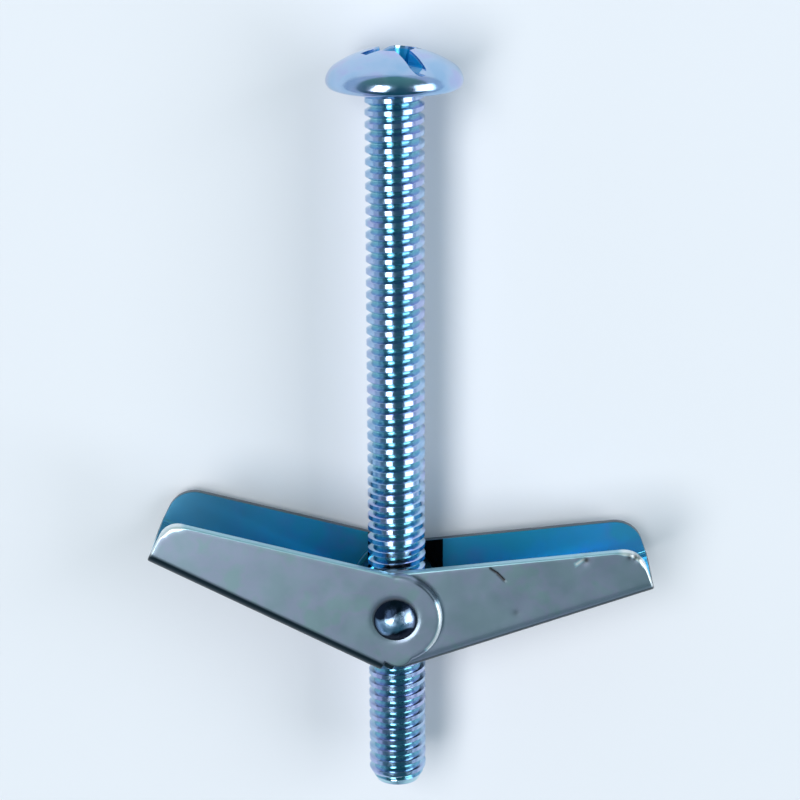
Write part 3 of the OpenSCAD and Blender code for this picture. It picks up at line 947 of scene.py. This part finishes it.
def wing_mesh(wing):
    """A folded wing as a mesh, with attributes that say where a point lies on the sheet."""
    flat_half = wing["flat_half"]
    grid = blank_grid(wing)
    pin_place = side_place(0, flat_half)
    points, inward, rolls, tones = blank_outline(wing)
    borders = [edge_rows(points, inward, rolls)]
    borders += [hole_rows(np.array((0, side * pin_place))) for side in (1, -1)]
    flat, heights, faces, edge_tone, inside_share = [], [], [], [], []
    count = 0

    def add(points, height, tone, inside):
        nonlocal count
        flat.append(points)
        heights.append(np.broadcast_to(height, len(points)))
        edge_tone.append(np.broadcast_to(tone, len(points)))
        inside_share.append(np.full(len(points), float(inside)))
        count += len(points)
        return count - len(points)

    last = len(borders[0]) - 1
    firsts = []
    for rows, tone in zip(borders, (tones, 0, 0)):
        starts = [add(points, height, tone * (0 < i < last), i == last)
                  for i, (points, height) in enumerate(rows)]
        firsts.append(starts)
        size = len(rows[0][0])
        for a, b in zip(starts, starts[1:]):
            faces += [(a + i, a + (i + 1) % size, b + (i + 1) % size, b + i) for i in range(size)]
    for row, height, inside in ((0, SHEET / 2, False), (last, -SHEET / 2, True)):
        loops = [rows[row][0] for rows in borders]
        points, triangles = cover(loops, grid)
        names = np.concatenate([starts[row] + np.arange(len(loop)) for starts, loop in zip(firsts, loops)])
        first = add(points[len(names):], height, 0, inside)
        names = np.concatenate([names, first + np.arange(len(points) - len(names))])
        faces += [tuple(names[t]) for t in triangles]
    flat = np.concatenate(flat)
    heights = dented(wing, flat, np.concatenate(heights))
    mesh = bpy.data.meshes.new(wing["name"])
    mesh.from_pydata(folded(wing, flat[:, 0], flat[:, 1], heights), [], faces)
    shares = finish_shares(wing, flat, np.concatenate(edge_tone), np.concatenate(inside_share))
    for name, values in shares.items():
        layer = mesh.attributes.new(name, "FLOAT", "POINT")
        layer.data.foreach_set("value", values.astype(np.float32))
    return mesh


# Satin barrel zinc with a blue passivate on rolled sheet: an even grey-blue sheen that drifts only
# a little. Inside the channels it is painted a deeper blue for the light that the inner faces mirror
# into one another, paler towards their tips. The front's punched edges are lighter cut metal with
# painted highlights, the folds and some cut edges carry painted shade, and round the nut the inside
# is painted black for the shade there and the dark barrel's mirror image.
satin_zinc, tree, output = new_material("satin_zinc_blue_passivate")
place = add_node(tree, "ShaderNodeTexCoord").outputs["Object"]
bright, inside, dark, marks_and_shadow = [
    add_node(tree, "ShaderNodeAttribute", attribute_name=name).outputs["Fac"]
    for name in ("bright_share", "inside_share", "painted_shade_share", "marks_and_shadow_share")
]
drift = add_node(tree, "ShaderNodeTexNoise", {
    "Vector": place, "Scale": noise_scale(2.2 * MM), "Detail": 3.0, "Roughness": 0.6,
})
outside = with_stops(
    add_node(tree, "ShaderNodeValToRGB", [drift]),
    (0.36, "#869BA7"), (0.48, "#8B9CAC"), (0.56, "#909BB0"), (0.66, "#869FA7"))
pools = add_node(tree, "ShaderNodeTexNoise", {"Vector": place, "Scale": noise_scale(2.6 * MM)})
# painted deeper blue inside the channels, for the light that the inner faces mirror into one another
within_channel = with_stops(
    add_node(tree, "ShaderNodeValToRGB", [pools]),
    (0.36, "#46CEEA"), (0.5, "#4ACAF2"), (0.62, "#60C0F2"), (0.7, "#44CCDE"))
sideways = add_node(tree, "ShaderNodeSeparateXYZ", [place]).outputs[0]
to_left_tip = add_node(tree, "ShaderNodeMapRange", (sideways, -10 * MM, -22 * MM, 0.0, 1.0))
to_right_tip = add_node(tree, "ShaderNodeMapRange", (sideways, 14 * MM, 25 * MM, 0.0, 0.6))
to_tip = add_node(tree, "ShaderNodeMath", (to_left_tip, to_right_tip), operation="MAXIMUM")
within_channel = laid_over(tree, within_channel, (to_tip, "#64AECC"))
sheet = add_node(tree, "ShaderNodeMix", {0: inside, 6: outside, 7: within_channel}, data_type="RGBA")
# cut edges turn to lighter cut metal with some painted highlight, then to a near-white painted highlight
edge_metal_and_highlight = add_node(tree, "ShaderNodeMapRange", (bright, 0.0, 0.5, 0.0, 1.0))
painted_edge_highlight = add_node(tree, "ShaderNodeMapRange", (bright, 0.6, 1.0, 0.0, 1.0))
# painted black inside the channels round the nut, as the shade there and the dark barrel's mirror image
past_nut_shade_left = add_node(tree, "ShaderNodeMath", (sideways, NUT_SHADE_LEFT), operation="GREATER_THAN")
before_nut_shade_right = add_node(tree, "ShaderNodeMath", (sideways, NUT_SHADE_RIGHT), operation="LESS_THAN")
painted_nut_shade = all_of(tree, past_nut_shade_left, before_nut_shade_right, inside)
colour = laid_over(
    tree, sheet.outputs[2],
    (edge_metal_and_highlight, "#A4CCD8"), (painted_edge_highlight, "#E8F0F2"), (dark, "#1E323C"), (marks_and_shadow, "#3A3A3C"),
    (painted_nut_shade, "#0E1216"))
clouds = add_node(tree, "ShaderNodeTexNoise", {"Vector": place, "Scale": noise_scale(1.5 * MM)})
satin = add_node(tree, "ShaderNodeMapRange", (clouds, 0.35, 0.65, 0.34, 0.38))
# the grain of the zinc is finer than this, and is drawn coarse enough to show
grain = add_node(tree, "ShaderNodeTexNoise", {
    "Vector": place, "Scale": noise_scale(0.15 * MM), "Detail": 4.0, "Roughness": 0.6,
})
shader = add_node(tree, "ShaderNodeBsdfPrincipled", {
    "Base Color": colour,
    "Metallic": add_node(tree, "ShaderNodeMapRange", (inside, 0.0, 1.0, 0.75, 0.7)),
    "Roughness": add_node(tree, "ShaderNodeMapRange", (inside, 0.0, 1.0, satin, 0.16)),
    "Normal": add_node(tree, "ShaderNodeBump", {
        "Strength": 0.25, "Distance": 0.01 * MM, "Height": grain,
    }),
})
tree.links.new(shader.outputs[0], output.inputs[0])


def fine_patch(wing, out, up, spread):
    """Adds closer points round a small mark."""
    steps = np.linspace(-1.5, 1.5, 7) * spread
    patch = np.stack(np.meshgrid(steps, steps), axis=-1).reshape(-1, 2)
    wing["fine_points"].append(patch + np.array((out, side_place(up, wing["flat_half"]))))


def mark_line(wing, kind, start, end, half_width, *depth):
    """Adds a scratch or a glint on the front side, between two points (out, height), and fine points."""
    start, end = (np.array((out, side_place(up, wing["flat_half"]))) for out, up in (start, end))
    wing[kind].append(((start, end), half_width, *depth))
    run = end - start
    across = np.array((run[1], -run[0])) / np.linalg.norm(run)
    along = np.linspace(-0.05, 1.05, 24)
    for offset in (-2, -1, -0.5, 0, 0.5, 1, 2):
        wing["fine_points"].append(start + along[:, None] * run + across * offset * half_width)


def make_wing(wing):
    """Makes a wing and hands it to the frame in place of its CAD node."""
    mesh = wing_mesh(wing)
    piece = new_object(wing["name"], mesh)
    settle(mesh, satin_zinc, sharp_angle=40)
    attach(piece, wing["node"])
    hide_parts(wing["node"])


# A corner is its radius and the roll of its edge. A bend tone is how much painted shade the fold
# carries, at shares of the way from the web to the side. A dent is its place on the front side, as
# (out from the pin, height above it), its spread and its rise, and a dark spot is its place, its
# spread and its darkness.
left_wing = {
    "name": "outer_wing",
    "node": "wing_left",
    "side": -1,
    "rise": math.radians(26.5),
    "reach": 26.1 * MM,
    "heel": 0.42 * MM,
    "front_corner": (2.1 * MM, 0.66 * MM),
    "back_corner": (3.1 * MM, PUNCHED_ROLL),
    "bend_tone": ((0, 0.15, 0.84, 0.97), (0, 1, 1, 0)),
    "dents": [],
    "dark_spots": [],
}
right_wing = {
    "name": "inner_wing",
    "node": "wing_right",
    "side": 1,
    "rise": math.radians(19.1),
    "reach": 26.7 * MM,
    "heel": 0.0,
    "front_corner": (2.6 * MM, 0.5 * MM),
    "back_corner": (3.1 * MM, PUNCHED_ROLL),
    "bend_tone": ((0, 0.56, 0.68), (1, 1, 0)),
    "dents": [
        (20.7 * MM, -0.45 * MM, 0.35 * MM, -0.08 * MM),
        (12.2 * MM, -3.7 * MM, 0.25 * MM, -0.02 * MM),
        (25.9 * MM, -1.8 * MM, 0.3 * MM, -0.14 * MM),
        (26.5 * MM, -2.1 * MM, 0.22 * MM, 0.12 * MM),
    ],
    "dark_spots": [
        # the painted shadow beside the chip on the top edge
        (20.98 * MM, -0.5 * MM, 0.24 * MM, 1.0),
        (12.2 * MM, -3.7 * MM, 0.25 * MM, 0.35),
        (25.4 * MM, -1.6 * MM, 0.22 * MM, 0.8),
        (25.9 * MM, -1.85 * MM, 0.22 * MM, 0.9),
        (26.3 * MM, -2.0 * MM, 0.18 * MM, 0.7),
    ],
}
for wing in (left_wing, right_wing):
    flat_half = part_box(wing["node"])[1].z - FOLD_R - SHEET
    wing.update(flat_half=flat_half, scratches=[], glints=[], fine_points=[])
mark_line(right_wing, "scratches", (11.2 * MM, 1.9 * MM), (11.7 * MM, 1.2 * MM), 0.12 * MM, 0.06 * MM)
mark_line(right_wing, "scratches", (11.7 * MM, 1.2 * MM), (12.15 * MM, 0.2 * MM), 0.14 * MM, 0.08 * MM)
mark_line(right_wing, "glints", (19.9 * MM, -0.55 * MM), (20.75 * MM, -0.3 * MM), 0.16 * MM)
for out, up, spread, _ in right_wing["dents"] + right_wing["dark_spots"]:
    fine_patch(right_wing, out, up, spread)
make_wing(left_wing)
make_wing(right_wing)


# ---------------------------------------------------------------- spring
# A torsion spring wound from 0.4 mm music wire: one turn round the lower stub pin, and a leg
# along each web. Each half is its own mesh; on the real spring each leg turns with its own wing.

WIRE_R = 0.2 * MM
COIL_R = 2.45 * MM
COIL_LOW = -4.125 * MM
COIL_HIGH = -3.675 * MM
LEG_REACH = 13 * MM
LEG_LIFT = WEB_IN - WIRE_R - 0.2 * MM
COIL_POINTS = 48
LEG_POINTS = 12
WIRE_SIDES = 14


def leg_end(wing):
    """Where a leg ends on its web, and the angle round the coil, from straight down, where it leaves."""
    rise = wing["rise"]
    out = LEG_REACH * math.cos(rise) + LEG_LIFT * math.sin(rise)
    up = LEG_REACH * math.sin(rise) - LEG_LIFT * math.cos(rise)
    leave = math.pi / 2 - math.acos(COIL_R / math.hypot(out, up)) + math.atan2(-up, out)
    return out, up, leave


def spring_tree(name, top, leave, heights, end):
    """Round wire that starts at an angle round the coil, leaves it at another and runs on straight."""
    tree = bpy.data.node_groups.new(name, "GeometryNodeTree")
    given = tree_inputs(
        tree,
        ("Wire Radius", "Coil Radius", "Start Angle", "Leaving Angle", "Start Height", "Leaving Height",
         "Leg End X", "Leg End Y", "Pin Y"),
        (WIRE_R, COIL_R, top, leave, *heights, *end, PIN.y),
    )
    index = add_node(tree, "GeometryNodeInputIndex")
    round_share = add_node(tree, "ShaderNodeMath", (index, COIL_POINTS), operation="DIVIDE")
    turned = add_node(tree, "ShaderNodeMath", (round_share, 1.0), operation="MINIMUM")
    past_coil = add_node(tree, "ShaderNodeMath", (index, COIL_POINTS), operation="SUBTRACT")
    leg_share = add_node(tree, "ShaderNodeMath", (past_coil, LEG_POINTS), operation="DIVIDE")
    straight = add_node(tree, "ShaderNodeMath", (leg_share, 0.0), operation="MAXIMUM")

    def between(share, start, end):
        whole = add_node(tree, "ShaderNodeMath", (end, start), operation="SUBTRACT")
        part = add_node(tree, "ShaderNodeMath", (share, whole), operation="MULTIPLY")
        return add_node(tree, "ShaderNodeMath", (start, part), operation="ADD")

    angle = between(turned, given["Start Angle"], given["Leaving Angle"])
    sine, cosine = [add_node(tree, "ShaderNodeMath", [angle], operation=way) for way in ("SINE", "COSINE")]
    below_pin = add_node(tree, "ShaderNodeMath", (cosine, -1.0), operation="MULTIPLY")
    round_x = add_node(tree, "ShaderNodeMath", (given["Coil Radius"], sine), operation="MULTIPLY")
    round_y = add_node(tree, "ShaderNodeMath", (given["Coil Radius"], below_pin), operation="MULTIPLY")
    from_pin = between(straight, round_y, given["Leg End Y"])
    point = add_node(tree, "ShaderNodeCombineXYZ", (
        between(straight, round_x, given["Leg End X"]),
        add_node(tree, "ShaderNodeMath", (given["Pin Y"], from_pin), operation="ADD"),
        between(turned, given["Start Height"], given["Leaving Height"]),
    ))
    line = add_node(tree, "GeometryNodeMeshLine", {"Count": COIL_POINTS + LEG_POINTS + 1})
    moved = add_node(tree, "GeometryNodeSetPosition", {0: line, "Position": point})
    path = add_node(tree, "GeometryNodeMeshToCurve", [moved])
    section = add_node(tree, "GeometryNodeCurvePrimitiveCircle", {
        "Resolution": WIRE_SIDES, "Radius": given["Wire Radius"],
    })
    wire = add_node(tree, "GeometryNodeCurveToMesh", {
        "Curve": path, "Profile Curve": section, "Fill Caps": True,
    })
    return end_tree(tree, wire, drawn_wire)


# Drawn music wire: grey steel with a soft sheen that drifts a little along it.
drawn_wire, tree, output = new_material("drawn_music_wire")
place = add_node(tree, "ShaderNodeTexCoord").outputs["Object"]
drift = add_node(tree, "ShaderNodeTexNoise", {"Vector": place, "Scale": noise_scale(0.6 * MM)})
clouds = add_node(tree, "ShaderNodeTexNoise", {
    "Vector": place, "Scale": noise_scale(0.2 * MM), "Detail": 3.0,
})
shader = add_node(tree, "ShaderNodeBsdfPrincipled", {
    "Base Color": with_stops(
        add_node(tree, "ShaderNodeValToRGB", [drift]), (0.35, "#8A8F98"), (0.65, "#A9AEB6")),
    "Metallic": 1.0,
    "Roughness": add_node(tree, "ShaderNodeMapRange", (clouds, 0.3, 0.7, 0.25, 0.4)),
})
tree.links.new(shader.outputs[0], output.inputs[0])

middle_height = (COIL_LOW + COIL_HIGH) / 2
for wing, leaving_height in ((left_wing, COIL_HIGH), (right_wing, COIL_LOW)):
    side = wing["side"]
    out, up, leave = leg_end(wing)
    name = wing["node"].replace("wing", "spring")
    tree = spring_tree(
        name, -side * math.pi, side * leave, (middle_height, leaving_height), (side * out, up))
    mesh = grown_mesh(name, tree)
    piece = new_object(name, mesh)
    settle(mesh, drawn_wire)
    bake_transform(piece)
    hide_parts("spring")
